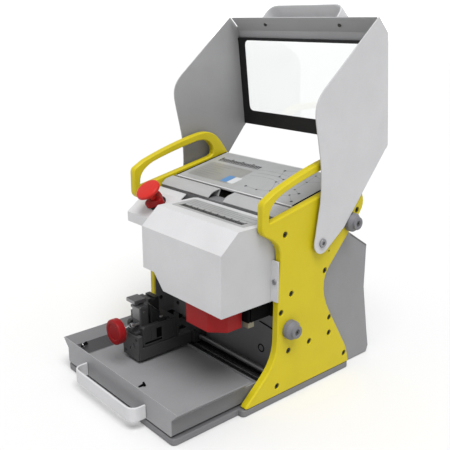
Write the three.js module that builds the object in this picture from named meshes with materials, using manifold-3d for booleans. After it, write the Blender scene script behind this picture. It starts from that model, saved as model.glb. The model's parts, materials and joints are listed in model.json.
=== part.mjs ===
// Key duplicating machine with a flip-up safety cover.
// Millimetres, +Z up, the operator stands on the -Y side, +X is to the operator's right.
// Depths (y) are counted from the front edge of the base; the finished parts are moved
// forward by BASE_MIDDLE at the end, so the origin lies under the middle of the base.
import * as THREE from 'three';
import { mergeVertices } from 'three/addons/utils/BufferGeometryUtils.js';
import Module from 'manifold-3d';

const wasm = await Module();
wasm.setup();

// ---- driving dimensions -------------------------------------------------------------
const BASE_MIDDLE = 170;
const BASE_DEPTH = 341.5;
const BASE_THICK = 10;
const BASE_FRONT_HALF = 140;
const BASE_REAR_HALF = 150;
const BASE_STEP_Y = 113.5;

const PLATE_INNER = 138;
const PLATE_OUTER = 150;
const PLATE_BEVEL = 1.5;
const LEFT_REACH = 9;

const GAP = 0.3;
const SHEET = 2;

const TRAY_HALF = 136.5;
const TRAY_FLARE_HALF = 149.5;
const TRAY_FLOOR_Z = 13;
const TRAY_FOLD_Z = 37;
const TRAY_RIM_Z = 50;
const TRAY_SHEET = 1.5;
const TRAY_FLARE_END = 128;
const TRAY_REAR = 176;

const HEAD_LEFT = -43;
const HEAD_RIGHT = 137;
const HEAD_FRONT = 85;
const HEAD_BOTTOM = 155;
const HEAD_TOP = 269.5;
const HEAD_REAR = 188;

const PANEL_FRONT = [217, 285];
const PANEL_REAR = [330, 309.8];
const PANEL_HALF = 134.5;
const CONSOLE_HALF = 136.8;
const REST_GAP = [-14, 20];

const PIVOT = [256.9, 229.2];
const CHEEK_INNER = 155.5;
const CHEEK_OUTER = 157.5;
const CHEEK_END_R = 16;
const PIVOT_PIN_R = 4.8;
const STOP_R = 14.2;
const UPPER_STOP = [325.6, 246.4];
const LOWER_STOP = [201.5, 110.2];
const WINDOW_FOOT = [391.8, 353];
const WINDOW_TALL = 151;
const WINDOW_LEAN = 6.84 * Math.PI / 180;
const WINDOW_HALF = 155;

const WALL_FRONT = 207;
const WALL_REAR = 212;
const SPINDLE = [76.5, 114];
const GUARD_HALF = 43.5;
const GUARD_FRONT = 91;
const GUARD_REAR = 137;
const GUARD_CORNER = 20;
const GUARD_BOTTOM = 121;
const GUARD_TOP = 172;

const CLAMP_X = -73;
const CLAMP_SCREW_Z = 72;
const ARM_HALF = 22.5;
const CHANNEL_HALF = 15;
const SADDLE_TOP = 75;
const RAIL_Z = 15.2;

const STOP_BUTTON_X = -86.5;
const STOP_BUTTON_FOOT = [146, 257.2];
const STOP_BUTTON_LEAN = Math.atan2(30.5, 42);

const REAR_WALL_Y = 387.6;

const COLOURS = {
  yellow: 0xccbd2e, white: 0xe2e2e2, cheek: 0xcfcfcf, grey: 0x8f8f8f, base: 0x7c7c7c,
  dark: 0x38383a, black: 0x1c1c1e, red: 0x96252a, button: 0xd73a34, steel: 0xb4b6b8,
  glass: 0xdfe8ea, nylon: 0xd8d8d0, brass: 0xb08a3c,
};

// ---- small helpers ------------------------------------------------------------------
function clean(geometry) {
  const bare = geometry.index ? geometry.toNonIndexed() : geometry.clone();
  bare.deleteAttribute('normal');
  bare.deleteAttribute('uv');
  return mergeVertices(bare, 1e-4);
}

function signedVolume(geometry) {
  const p = geometry.attributes.position;
  const index = geometry.index.array;
  const a = new THREE.Vector3();
  const b = new THREE.Vector3();
  const c = new THREE.Vector3();
  let total = 0;
  for (let i = 0; i < index.length; i += 3) {
    a.fromBufferAttribute(p, index[i]);
    b.fromBufferAttribute(p, index[i + 1]);
    c.fromBufferAttribute(p, index[i + 2]);
    total += a.dot(b.cross(c)) / 6;
  }
  return total;
}

function outward(geometry) {
  const g = clean(geometry);
  if (signedVolume(g) < 0) {
    const index = g.index.array;
    for (let i = 0; i < index.length; i += 3) {
      const swap = index[i];
      index[i] = index[i + 1];
      index[i + 1] = swap;
    }
  }
  return g;
}

function toManifold(geometry) {
  const g = outward(geometry);
  return new wasm.Manifold(new wasm.Mesh({
    numProp: 3,
    vertProperties: new Float32Array(g.attributes.position.array),
    triVerts: new Uint32Array(g.index.array),
  }));
}

function fromManifold(body) {
  const mesh = body.getMesh();
  const g = new THREE.BufferGeometry();
  g.setAttribute('position', new THREE.BufferAttribute(new Float32Array(mesh.vertProperties), 3));
  g.setIndex(new THREE.BufferAttribute(new Uint32Array(mesh.triVerts), 1));
  return g;
}

function join(...pieces) {
  const bodies = pieces.map(toManifold);
  return fromManifold(bodies.reduce((sum, next) => sum.add(next)));
}

function cut(piece, ...tools) {
  const bodies = tools.map(toManifold);
  return fromManifold(bodies.reduce((rest, tool) => rest.subtract(tool), toManifold(piece)));
}

function box(x0, x1, y0, y1, z0, z1) {
  const g = new THREE.BoxGeometry(x1 - x0, y1 - y0, z1 - z0);
  return g.translate((x0 + x1) / 2, (y0 + y1) / 2, (z0 + z1) / 2);
}

function outline(points) {
  return new THREE.Shape(points.map(([u, v]) => new THREE.Vector2(u, v)));
}

function extrude(shape, length, bevel = 0, segments = 8) {
  const g = new THREE.ExtrudeGeometry(shape, {
    depth: length - 2 * bevel,
    bevelEnabled: bevel > 0,
    bevelThickness: bevel,
    bevelSize: bevel,
    bevelOffset: -bevel,
    bevelSegments: 1,
    curveSegments: segments,
  });
  return g.translate(0, 0, bevel);
}

// outline given in (y, z), running along x
function alongX(shape, x0, x1, bevel, segments) {
  const g = extrude(shape, x1 - x0, bevel, segments);
  const turn = new THREE.Matrix4().set(0, 0, 1, x0, 1, 0, 0, 0, 0, 1, 0, 0, 0, 0, 0, 1);
  return g.applyMatrix4(turn);
}

// outline given in (x, z), running along y
function alongY(shape, y0, y1, bevel, segments) {
  const g = extrude(shape, y1 - y0, bevel, segments);
  return g.rotateX(Math.PI / 2).translate(0, y1, 0);
}

// outline given in (x, y), running along z
function alongZ(shape, z0, z1, bevel, segments) {
  return extrude(shape, z1 - z0, bevel, segments).translate(0, 0, z0);
}

// turned part: [radius, height] pairs, height measured from `foot` along `axis`
function turned(profile, foot, axis, sides = 24) {
  const points = profile.map(([r, h]) => new THREE.Vector2(r, h));
  const g = new THREE.LatheGeometry(points, sides);
  const up = new THREE.Vector3(0, 1, 0);
  const turn = new THREE.Quaternion().setFromUnitVectors(up, new THREE.Vector3(...axis).normalize());
  return g.applyQuaternion(turn).translate(...foot);
}

function rod(radius, foot, axis, length, sides = 20) {
  return turned([[0, 0], [radius, 0], [radius, length], [0, length]], foot, axis, sides);
}

function mirrored(geometry) {
  return geometry.clone().scale(-1, 1, 1);
}

function roundedRect(u0, u1, v0, v1, r, path = new THREE.Shape()) {
  path.moveTo(u0 + r, v0);
  path.lineTo(u1 - r, v0);
  path.quadraticCurveTo(u1, v0, u1, v0 + r);
  path.lineTo(u1, v1 - r);
  path.quadraticCurveTo(u1, v1, u1 - r, v1);
  path.lineTo(u0 + r, v1);
  path.quadraticCurveTo(u0, v1, u0, v1 - r);
  path.lineTo(u0, v0 + r);
  path.quadraticCurveTo(u0, v0, u0 + r, v0);
  return path;
}

function roundHole(u, v, r) {
  const path = new THREE.Path();
  path.absarc(u, v, r, 0, 2 * Math.PI, true);
  return path;
}

const machine = new THREE.Group();
machine.name = 'key_duplicating_machine';

function add(name, geometry, colour, extra = {}) {
  const g = outward(geometry);
  g.translate(0, -BASE_MIDDLE, 0);
  g.computeVertexNormals();
  const material = new THREE.MeshStandardMaterial({ color: COLOURS[colour], ...extra });
  const mesh = new THREE.Mesh(g, material);
  mesh.name = name;
  machine.add(mesh);
}

// ---- fixed frame --------------------------------------------------------------------
function basePlate() {
  const s = new THREE.Shape();
  s.moveTo(-BASE_FRONT_HALF + 8, 0);
  s.lineTo(BASE_FRONT_HALF - 8, 0);
  s.quadraticCurveTo(BASE_FRONT_HALF, 0, BASE_FRONT_HALF, 8);
  s.lineTo(BASE_FRONT_HALF, BASE_STEP_Y);
  s.lineTo(BASE_REAR_HALF - 7, BASE_STEP_Y);
  s.quadraticCurveTo(BASE_REAR_HALF, BASE_STEP_Y, BASE_REAR_HALF, BASE_STEP_Y + 7);
  s.lineTo(BASE_REAR_HALF, BASE_DEPTH - 6);
  s.quadraticCurveTo(BASE_REAR_HALF, BASE_DEPTH, BASE_REAR_HALF - 6, BASE_DEPTH);
  s.lineTo(-BASE_REAR_HALF + 6, BASE_DEPTH);
  s.quadraticCurveTo(-BASE_REAR_HALF, BASE_DEPTH, -BASE_REAR_HALF, BASE_DEPTH - 6);
  s.lineTo(-BASE_REAR_HALF, BASE_STEP_Y + 7);
  s.quadraticCurveTo(-BASE_REAR_HALF, BASE_STEP_Y, -BASE_REAR_HALF + 7, BASE_STEP_Y);
  s.lineTo(-BASE_FRONT_HALF, BASE_STEP_Y);
  s.lineTo(-BASE_FRONT_HALF, 8);
  s.quadraticCurveTo(-BASE_FRONT_HALF, 0, -BASE_FRONT_HALF + 8, 0);
  return alongZ(s, 0, BASE_THICK, 1, 6);
}

// reach moves the front edge of a plate, and the front end of its hand slot, forwards.
function plateOutline(reach) {
  const s = new THREE.Shape();
  const foot = BASE_THICK + GAP;
  s.moveTo(124, foot);
  s.lineTo(341.5, foot);
  s.quadraticCurveTo(339, 27, 331, 43);
  s.lineTo(290, 111);
  s.bezierCurveTo(272, 140, 268, 168, 284, 184.5);
  s.lineTo(345, 250.5);
  s.bezierCurveTo(357, 263, 359.5, 273, 352, 286);
  s.lineTo(325, 324);
  s.bezierCurveTo(310, 345, 296, 352, 272, 348);
  s.quadraticCurveTo(222 - reach / 2, 338, 167.5 - reach, 316.3);
  s.lineTo(150 - reach, 306.5);
  s.quadraticCurveTo(146 - reach, 304, 146 - reach, 298);
  s.lineTo(146 - reach, 268);
  s.quadraticCurveTo(146 - reach, 262, 152 - reach, 257.5);
  s.bezierCurveTo(168 - reach, 249, 182 - reach, 243, 181.5 - reach, 218);
  s.lineTo(178.8 - reach, 180);
  s.lineTo(178.5 - reach, 100);
  s.bezierCurveTo(178.5 - reach, 75, 170, 60, 155, 46);
  s.lineTo(121, 16.2);
  s.quadraticCurveTo(115.5, foot, 124, foot);
  return s;
}

function carrySlot(reach) {
  const h = new THREE.Path();
  h.moveTo(161 - reach, 275.8);
  h.lineTo(296, 305.3);
  h.bezierCurveTo(312, 309, 300, 341, 270, 336);
  h.quadraticCurveTo(222 - reach / 2, 326, 186 - reach, 312.8);
  h.quadraticCurveTo(160 - reach, 302, 158.5 - reach, 286);
  h.lineTo(158 - reach, 279);
  h.quadraticCurveTo(158 - reach, 275.2, 161 - reach, 275.8);
  return h;
}

function sidePlate(reach) {
  const s = plateOutline(reach);
  s.holes.push(carrySlot(reach));
  return alongX(s, PLATE_INNER, PLATE_OUTER, PLATE_BEVEL, 6);
}

function innerWall() {
  const body = box(-137.5, 137.5, WALL_FRONT, WALL_REAR, BASE_THICK + GAP, 261.5);
  const port = rod(5, [88, WALL_FRONT - 1, 54], [0, 1, 0], 7);
  const liner = box(-137.5, -136, 171, WALL_FRONT + 1, 52, 152);
  return cut(join(body, liner), port);
}

function rearHousing() {
  const skin = outline([
    [262, 10.4], [342.2, 10.4], [342.2, 0.6], [404.5, 0.6], [408.6, 11.2], [402.6, 40],
    [REAR_WALL_Y, 122], [REAR_WALL_Y, 194], [345.5, 221.2], [331.5, 231], [331.5, 305],
    [327.8, 305], [327.8, 261.6], [262, 261.6],
  ]);
  const hollow = outline([
    [260, 12.2], [344, 12.2], [344, 2.4], [403.3, 2.4], [406.7, 11.3], [400.8, 39.6],
    [REAR_WALL_Y - 1.8, 121.6], [REAR_WALL_Y - 1.8, 193], [344.5, 219.7], [329.7, 230],
    [329.7, 259.8], [260, 259.8],
  ]);
  const shell = cut(alongX(skin, -137, 137), alongX(hollow, -135.2, 135.2));
  const openings = [
    box(-112.5, -53.3, 380, 392, 141, 165),
  ];
  for (let i = 0; i < 6; i += 1) {
    openings.push(box(34, 92, 380, 392, 136 + i * 8, 140 + i * 8));
  }
  return cut(shell, ...openings);
}

// ---- console ------------------------------------------------------------------------
function consoleChassis() {
  const outer = outline([
    [189.5, 262], [326.5, 262], [326.5, 304.8], [216.5, 280.6], [212, 272.5], [189.5, 272.5],
  ]);
  const inner = outline([
    [191.5, 264], [324.5, 264], [324.5, 312], [210, 312], [210, 270.5], [191.5, 270.5],
  ]);
  const half = CONSOLE_HALF;
  return cut(alongX(outer, -half, half), alongX(inner, -half + SHEET, half - SHEET));
}

function consolePanel() {
  const [y0, z0] = PANEL_FRONT;
  const [y1, z1] = PANEL_REAR;
  const s = outline([[y0, z0], [y0 + 0.7, z0 - 3], [y1 + 0.7, z1 - 3], [y1, z1]]);
  return alongX(s, -PANEL_HALF, PANEL_HALF, 0.4);
}

function tabletRest(x0, x1) {
  const s = outline([
    [209.8, 272.8], [213.3, 282.4], [212.8, 284.1], [211.3, 284.7], [199, 282.2], [194.6, 280.5],
    [187.6, 274.4], [188.4, 273.3], [195.2, 278.8], [199.4, 280.8], [210.9, 283.1], [211.7, 282.3],
    [208.3, 272.8],
  ]);
  return alongX(s, x0, x1, 0.2);
}

// ---- head cover and stop button -----------------------------------------------------
function headCover() {
  const outer = outline([
    [HEAD_FRONT, HEAD_BOTTOM], [HEAD_REAR, HEAD_BOTTOM], [HEAD_REAR, HEAD_TOP],
    [115, HEAD_TOP], [HEAD_FRONT, 243],
  ]);
  const inner = outline([
    [HEAD_FRONT + 2, HEAD_BOTTOM - 2], [HEAD_REAR + 2, HEAD_BOTTOM - 2],
    [HEAD_REAR + 2, HEAD_TOP - 2], [115.7, HEAD_TOP - 2], [HEAD_FRONT + 2, 242.1],
  ]);
  const shell = cut(
    alongX(outer, HEAD_LEFT, HEAD_RIGHT),
    alongX(inner, HEAD_LEFT + SHEET, HEAD_RIGHT - SHEET),
  );
  const notch = outline([[HEAD_LEFT - 2, 150], [11, 150], [-15.5, 178.3], [HEAD_LEFT - 2, 178.3]]);
  const rearTrim = box(HEAD_RIGHT - 3, HEAD_RIGHT + 1, 184, 190, 150, 250);
  const corner = outline([[HEAD_LEFT - 1, 181], [HEAD_LEFT + 6, 190], [HEAD_LEFT - 1, 190]]);
  const body = cut(
    shell,
    alongY(notch, HEAD_FRONT - 2, HEAD_REAR + 2),
    alongZ(corner, HEAD_TOP - 4, HEAD_TOP + 1),
    rearTrim,
  );
  const flange = box(HEAD_RIGHT - SHEET, PLATE_OUTER, 176.2, 178, 157, 217);
  return join(body, flange);
}

function stopPanel() {
  const right = HEAD_LEFT - 1.8;
  const bent = outline([
    [HEAD_REAR, HEAD_TOP], [163, HEAD_TOP], [121, 239], [121, 223], [123, 223], [123, 238],
    [163.7, HEAD_TOP - 2], [HEAD_REAR, HEAD_TOP - 2],
  ]);
  const side = outline([[HEAD_REAR, HEAD_TOP], [163, HEAD_TOP], [121, 239], [121, 223], [HEAD_REAR, 223]]);
  const corner = outline([[right + 1, 157], [right + 1, 190], [right - 25, 190]]);
  const body = join(alongX(bent, -137, right), alongX(side, -137, -135));
  return cut(body, alongZ(corner, 260, 271));
}

const stopAxis = [0, -Math.sin(STOP_BUTTON_LEAN), Math.cos(STOP_BUTTON_LEAN)];
const stopFoot = [STOP_BUTTON_X, ...STOP_BUTTON_FOOT];

function stopCollar() {
  return turned([[8, 0.3], [15, 0.3], [15, 2.2], [13.8, 3], [8, 3], [8, 0.3]], stopFoot, stopAxis);
}

function stopGrip() {
  const s = new THREE.Shape();
  const steps = 24;
  for (let i = 0; i < steps; i += 1) {
    const a = i / steps * 2 * Math.PI;
    const r = 14 + 3.4 * Math.cos(3 * a);
    const point = [r * Math.cos(a), r * Math.sin(a)];
    if (i === 0) s.moveTo(...point);
    else s.lineTo(...point);
  }
  s.closePath();
  s.holes.push(roundHole(0, 0, 5.5));
  const g = extrude(s, 10.6, 1, 10).translate(0, 0, 3.4);
  return g.rotateX(STOP_BUTTON_LEAN).translate(...stopFoot);
}

function stopCap() {
  const profile = [
    [0, 5], [5, 5], [5, 21.6], [8, 23.5], [18, 28], [20.2, 30.5], [19, 34], [15, 35.6], [0, 36],
  ];
  return turned(profile, stopFoot, stopAxis, 28);
}

// ---- flip-up cover ------------------------------------------------------------------
function cheekOutline() {
  const [cy, cz] = PIVOT;
  const s = new THREE.Shape();
  const r = CHEEK_END_R;
  const frontAngle = Math.PI - 0.15;
  const rearAngle = -0.9425;
  s.moveTo(cy + r * Math.cos(frontAngle), cz + r * Math.sin(frontAngle));
  s.absarc(cy, cz, r, frontAngle, rearAngle + 2 * Math.PI, false);
  s.lineTo(304.4, 243.9);
  s.lineTo(391, 347.5);
  s.quadraticCurveTo(397, 352, 396.6, 356);
  s.lineTo(379, 516.5);
  s.lineTo(356.4, 537.8);
  s.lineTo(250, 446.5);
  s.bezierCurveTo(234, 432, 231, 421, 235, 402);
  s.lineTo(245.2, 358);
  s.bezierCurveTo(249, 342, 252.5, 315, 250, 288);
  s.lineTo(cy + r * Math.cos(frontAngle), cz + r * Math.sin(frontAngle));
  return s;
}

function cheek() {
  const s = cheekOutline();
  s.holes.push(roundHole(PIVOT[0], PIVOT[1], PIVOT_PIN_R + GAP));
  return alongX(s, CHEEK_INNER, CHEEK_OUTER, 0.3, 7);
}

function coverTop() {
  const s = outline([
    [356.4, 537.7], [379.3, 516.9], [381.3, 500.4], [379.5, 500.4], [377.4, 515.9], [355, 536.2],
  ]);
  return alongX(s, -CHEEK_INNER + 2.2, CHEEK_INNER - 2.2);
}

function stand(geometry) {
  return geometry.rotateX(WINDOW_LEAN).translate(0, WINDOW_FOOT[0], WINDOW_FOOT[1]);
}

function windowFrame() {
  const s = outline([
    [-WINDOW_HALF, 0], [WINDOW_HALF, 0], [WINDOW_HALF, WINDOW_TALL], [-WINDOW_HALF, WINDOW_TALL],
  ]);
  s.holes.push(roundedRect(-139, 139, 25, WINDOW_TALL - 3.5, 10, new THREE.Path()));
  return stand(alongY(s, 0, 1.5, 0, 6));
}

function windowPane() {
  const s = roundedRect(-WINDOW_HALF, WINDOW_HALF, 0.5, WINDOW_TALL - 0.5, 1);
  return stand(alongY(s, 1.8, 4.8, 0, 2));
}

function bailHandle(half, reach, radius, thick) {
  const s = new THREE.Shape();
  const r = radius;
  const inner = r - thick;
  s.moveTo(-half, -GAP);
  s.lineTo(-half, -reach + r);
  s.quadraticCurveTo(-half, -reach, -half + r, -reach);
  s.lineTo(half - r, -reach);
  s.quadraticCurveTo(half, -reach, half, -reach + r);
  s.lineTo(half, -GAP);
  s.lineTo(half - thick, -GAP);
  s.lineTo(half - thick, -reach + r);
  s.quadraticCurveTo(half - thick, -reach + thick, half - thick - inner, -reach + thick);
  s.lineTo(-half + thick + inner, -reach + thick);
  s.quadraticCurveTo(-half + thick, -reach + thick, -half + thick, -reach + r);
  s.lineTo(-half + thick, -GAP);
  s.closePath();
  return s;
}

function trayHandle() {
  return alongZ(bailHandle(79, 24, 16, 3), 14, 35, 0.6, 6);
}

function coverHandle() {
  const tilt = Math.atan2(20.8, 23.3);
  const g = alongZ(bailHandle(80, 28, 20, 3), -13, 13, 0.6, 6);
  return g.rotateX(-Math.PI / 2 - tilt).translate(0, 367.85, 527.3);
}

function pivotPin() {
  const profile = [
    [0, 0], [9, 0], [9, 4.7], [PIVOT_PIN_R, 4.7], [PIVOT_PIN_R, 7.7], [6.6, 7.7], [6.6, 10], [0, 10],
  ];
  return turned(profile, [PLATE_OUTER + GAP, ...PIVOT], [1, 0, 0], 22);
}

function stopBumper([y, z]) {
  const profile = [
    [0, 0], [STOP_R, 0], [STOP_R, 8], [9.8, 12.2], [9.8, 16.4], [3.2, 16.4], [3.2, 13], [0, 13],
  ];
  return turned(profile, [PLATE_OUTER + GAP, y, z], [1, 0, 0], 22);
}

// ---- chip tray ----------------------------------------------------------------------
function tray() {
  const w = TRAY_HALF;
  const f = TRAY_FLARE_HALF;
  const t = TRAY_SHEET;
  const trough = outline([
    [-f, TRAY_RIM_Z], [-w, TRAY_FOLD_Z], [-w, TRAY_FLOOR_Z + 2], [-w + 2, TRAY_FLOOR_Z],
    [w - 2, TRAY_FLOOR_Z], [w, TRAY_FLOOR_Z + 2], [w, TRAY_FOLD_Z], [f, TRAY_RIM_Z],
    [f - 1.06, TRAY_RIM_Z + 1.06], [w - t, TRAY_FOLD_Z + 0.6], [w - t, TRAY_FLOOR_Z + 2.6],
    [w - 2.6, TRAY_FLOOR_Z + t], [-w + 2.6, TRAY_FLOOR_Z + t], [-w + t, TRAY_FLOOR_Z + 2.6],
    [-w + t, TRAY_FOLD_Z + 0.6], [-f + 1.06, TRAY_RIM_Z + 1.06],
  ]);
  const front = outline([
    [-w, TRAY_FLOOR_Z + 2], [-w + 2, TRAY_FLOOR_Z], [w - 2, TRAY_FLOOR_Z], [w, TRAY_FLOOR_Z + 2],
    [w, TRAY_FOLD_Z], [f, TRAY_RIM_Z], [f - 1.06, TRAY_RIM_Z + 1.06], [-f + 1.06, TRAY_RIM_Z + 1.06],
    [-f, TRAY_RIM_Z], [-w, TRAY_FOLD_Z],
  ]);
  const body = join(
    alongY(trough, 0.2, TRAY_REAR),
    alongY(front, 0.2, 0.2 + t),
    box(-w + 1, w - 1, TRAY_REAR - t, TRAY_REAR, TRAY_FLOOR_Z + 0.5, 18),
  );
  const clearRight = box(w + 0.01, f + 2, TRAY_FLARE_END, TRAY_REAR + 2, 30, 60);
  const clearTop = box(w - 5, f + 2, TRAY_FLARE_END, TRAY_REAR + 2, TRAY_FOLD_Z, 60);
  return cut(body, clearRight, clearTop, mirrored(clearRight), mirrored(clearTop));
}

// ---- two-way clamp table ------------------------------------------------------------
function railX(y0) {
  return box(-107.6, 133, y0, y0 + 6, RAIL_Z, 21);
}

function bedX() {
  return box(-134, 134, 179, 205.5, BASE_THICK + GAP, RAIL_Z - 0.1);
}

function carriageX() {
  const left = CLAMP_X - 30;
  const right = CLAMP_X + 30;
  const block = box(left, right, 180.3, 204.5, 21.4, 41);
  const bore = rod(4.6, [left - 1, 192.3, 30], [1, 0, 0], 62, 16);
  const groove = box(CLAMP_X - 6, CLAMP_X + 6, 179, 184, 28, 42);
  return cut(block, bore, groove);
}

function screwX() {
  return turned([[0, 0], [4, 0], [4, 239], [0, 239]], [-107.5, 192.3, 30], [1, 0, 0], 16);
}

function motorX() {
  return box(-136.8, -108, 179.5, 205, BASE_THICK + 5.4, 43);
}

function armY() {
  const left = CLAMP_X - ARM_HALF;
  const right = CLAMP_X + ARM_HALF;
  const beam = box(left, right, 76, 180, 20, 40);
  const head = box(left, right, 76, 84, 20, 60.5);
  const groove = box(CLAMP_X - 6, CLAMP_X + 6, 84, 182, 28, 42);
  const bore = rod(3.6, [CLAMP_X, 75, 34], [0, 1, 0], 12, 16);
  return cut(join(beam, head), groove, bore);
}

function screwY() {
  const profile = [[0, 0], [3, 0], [3, 102], [0, 102]];
  return turned(profile, [CLAMP_X, 77, 34], [0, 1, 0], 16);
}

function saddle() {
  const left = CLAMP_X - ARM_HALF;
  const right = CLAMP_X + ARM_HALF;
  const side = outline([
    [85, 43.5], [87, 43.5], [87, 41.2], [151, 41.2], [151, SADDLE_TOP], [88, SADDLE_TOP], [85, 72],
  ]);
  const nut = box(CLAMP_X - 5.4, CLAMP_X + 5.4, 104, 128, 29, 42);
  const bore = rod(3.5, [CLAMP_X, 100, 34], [0, 1, 0], 32, 16);
  const channel = box(CLAMP_X - CHANNEL_HALF, CLAMP_X + CHANNEL_HALF, 84, 131.5, 62, SADDLE_TOP + 1);
  return cut(join(alongX(side, left, right, 0.6), nut), bore, channel);
}

function jawRear() {
  const half = CHANNEL_HALF - GAP;
  const foot = box(CLAMP_X - half, CLAMP_X + half, 106, 131.2, 62.3, 80);
  const tower = outline([
    [112, 76], [129, 76], [129, 111], [108.5, 111], [108.5, 105.5], [112, 103.5],
  ]);
  const ramp = outline([[106, 75.5], [123, 75.5], [123, 91], [120, 92], [108, 104], [106, 104]]);
  const ledge = box(CLAMP_X + 4, CLAMP_X + 21, 117, 131, SADDLE_TOP + GAP, 81);
  const body = join(
    foot,
    alongX(tower, CLAMP_X - 21, CLAMP_X + 5, 0.5),
    alongX(ramp, CLAMP_X + 4, CLAMP_X + 15, 0.5),
    ledge,
  );
  const bore = rod(4.4, [CLAMP_X, 100, CLAMP_SCREW_Z], [0, 1, 0], 34, 16);
  const slot = box(CLAMP_X - 22, CLAMP_X + 6, 115, 121, 107.5, 112);
  return cut(body, bore, slot);
}

function jawFront() {
  const half = CHANNEL_HALF - GAP;
  const foot = box(CLAMP_X - half, CLAMP_X + half, 77, 102, 62.4, 66);
  const stem = outline([[86, 65], [102, 65], [102, 106.5], [88, 106.5], [86, 104.5]]);
  const lip = outline([[82, 109.5], [102.5, 109.5], [103.5, 110.5], [102.5, 115.5], [82, 115.5]]);
  const body = join(
    foot,
    alongX(stem, CLAMP_X - 7, CLAMP_X + 14, 0.5),
    box(CLAMP_X - 10, CLAMP_X + 3, 89, 101, 104, 111),
    alongX(lip, CLAMP_X - 17, CLAMP_X + 7, 0.5),
    box(CLAMP_X - 15, CLAMP_X - 6, 88, 98, 80, 93),
    box(CLAMP_X - 13, CLAMP_X - 6, 87, 94, 99, 103),
  );
  const bore = rod(4.4, [CLAMP_X, 76, CLAMP_SCREW_Z], [0, 1, 0], 30, 16);
  return cut(body, bore);
}

function clampScrew() {
  const profile = [[0, 0], [4, 0], [4, 67], [0, 67]];
  return turned(profile, [CLAMP_X, 61, CLAMP_SCREW_Z], [0, 1, 0], 16);
}

function clampKnob() {
  const profile = [
    [0, 0], [18.6, 0], [20, 1.6], [20.4, 3.6], [20.4, 8.4], [19.4, 10.4], [9, 11.4], [8, 16.2], [0, 16.2],
  ];
  return turned(profile, [CLAMP_X, 44.5, CLAMP_SCREW_Z], [0, 1, 0], 24);
}

// ---- spindle unit -------------------------------------------------------------------
function guardOutline(inset) {
  const [cx] = SPINDLE;
  const h = GUARD_HALF - inset;
  const c = GUARD_CORNER;
  const front = GUARD_FRONT + inset;
  const k = inset * 0.414;
  return outline([
    [cx - h, GUARD_REAR - inset], [cx - h, front + c - k], [cx - h + c - k, front],
    [cx + h - c + k, front], [cx + h, front + c - k], [cx + h, GUARD_REAR - inset],
  ]);
}

function spindleGuard() {
  const skin = alongZ(guardOutline(0), GUARD_BOTTOM, GUARD_TOP, 0.5);
  const room = alongZ(guardOutline(2.5), GUARD_BOTTOM - 1, GUARD_TOP - 3);
  const throat = rod(22, [...SPINDLE, GUARD_TOP - 5], [0, 0, 1], 8, 24);
  const probeHole = rod(9, [SPINDLE[0] + 29, SPINDLE[1] + 2, GUARD_TOP - 5], [0, 0, 1], 8, 16);
  return cut(skin, room, throat, probeHole);
}

function guardBracket() {
  const foot = box(34, 47, WALL_FRONT - 3.3, WALL_FRONT - GAP, 146, 184);
  const arm = box(36, 45, GUARD_REAR + GAP, WALL_FRONT - 2, 154, 170);
  return join(foot, arm);
}

function railZ() {
  const [cx] = SPINDLE;
  const back = box(cx - 22, cx + 22, WALL_FRONT - 2.3, WALL_FRONT - GAP, 118, 224);
  const left = box(cx - 20.5, cx - 13.5, 200.8, WALL_FRONT - 1, 120, 222);
  const right = box(cx + 13.5, cx + 20.5, 200.8, WALL_FRONT - 1, 120, 222);
  return join(back, left, right);
}

function carriageZ() {
  const [cx] = SPINDLE;
  const block = box(cx - 25, cx + 25, 186.6, 200.4, 150, 206);
  const bore = rod(4.6, [cx, 193.5, 148], [0, 0, 1], 62, 16);
  return cut(block, bore);
}

function screwZ() {
  return rod(4, [SPINDLE[0], 193.5, 124], [0, 0, 1], 101.4, 16);
}

function motorZ() {
  return alongZ(roundedRect(SPINDLE[0] - 17.5, SPINDLE[0] + 17.5, 171, 206, 4), 226, 256, 0.6, 4);
}

function spindlePlate() {
  const [cx, cy] = SPINDLE;
  const plate = alongZ(roundedRect(cx - 27, 131, 93, 186.2, 5), 193, 203, 0.6, 4);
  const hole = rod(19.3, [cx, cy, 190], [0, 0, 1], 16, 24);
  const probe = rod(7.3, [cx + 29, cy + 2, 190], [0, 0, 1], 16, 16);
  const shaft = rod(6, [108, 161, 190], [0, 0, 1], 16, 16);
  return cut(plate, hole, probe, shaft);
}

function spindleBody() {
  const profile = [
    [7.5, 166], [17, 166], [19, 168], [19, 215.5], [7.5, 215.5], [7.5, 166],
  ];
  return turned(profile, [...SPINDLE, 0], [0, 0, 1], 24);
}

function spindleShaft() {
  const profile = [
    [0, 146], [3.6, 146], [3.6, 141], [7, 143], [10.5, 149], [10.5, 163], [7, 165.5], [7, 216],
    [13, 216], [13, 217.5], [11.5, 218], [11.5, 225], [13, 225.5], [13, 227], [0, 227],
  ];
  return turned(profile, [...SPINDLE, 0], [0, 0, 1], 20);
}

function cutter() {
  const profile = [[0, 130], [1.6, 130], [1.8, 138], [3.1, 140], [3.1, 145.7], [0, 145.7]];
  return turned(profile, [...SPINDLE, 0], [0, 0, 1], 16);
}

function tracerProbe() {
  const profile = [
    [0, 134], [1.2, 134], [1.4, 146], [3, 150], [3, 168], [7, 170], [7, 210], [0, 210],
  ];
  return turned(profile, [SPINDLE[0] + 29, SPINDLE[1] + 2, 0], [0, 0, 1], 16);
}

function spindleMotor() {
  return alongZ(roundedRect(86, 131, 138.8, 183, 3), 130, 192.6, 0.8, 4);
}

function motorPulley() {
  const profile = [
    [0, 193], [5, 193], [5, 216], [10, 216], [10, 217.5], [8.5, 218], [8.5, 225], [10, 225.5],
    [10, 227], [0, 227],
  ];
  return turned(profile, [108, 161, 0], [0, 0, 1], 20);
}

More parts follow.
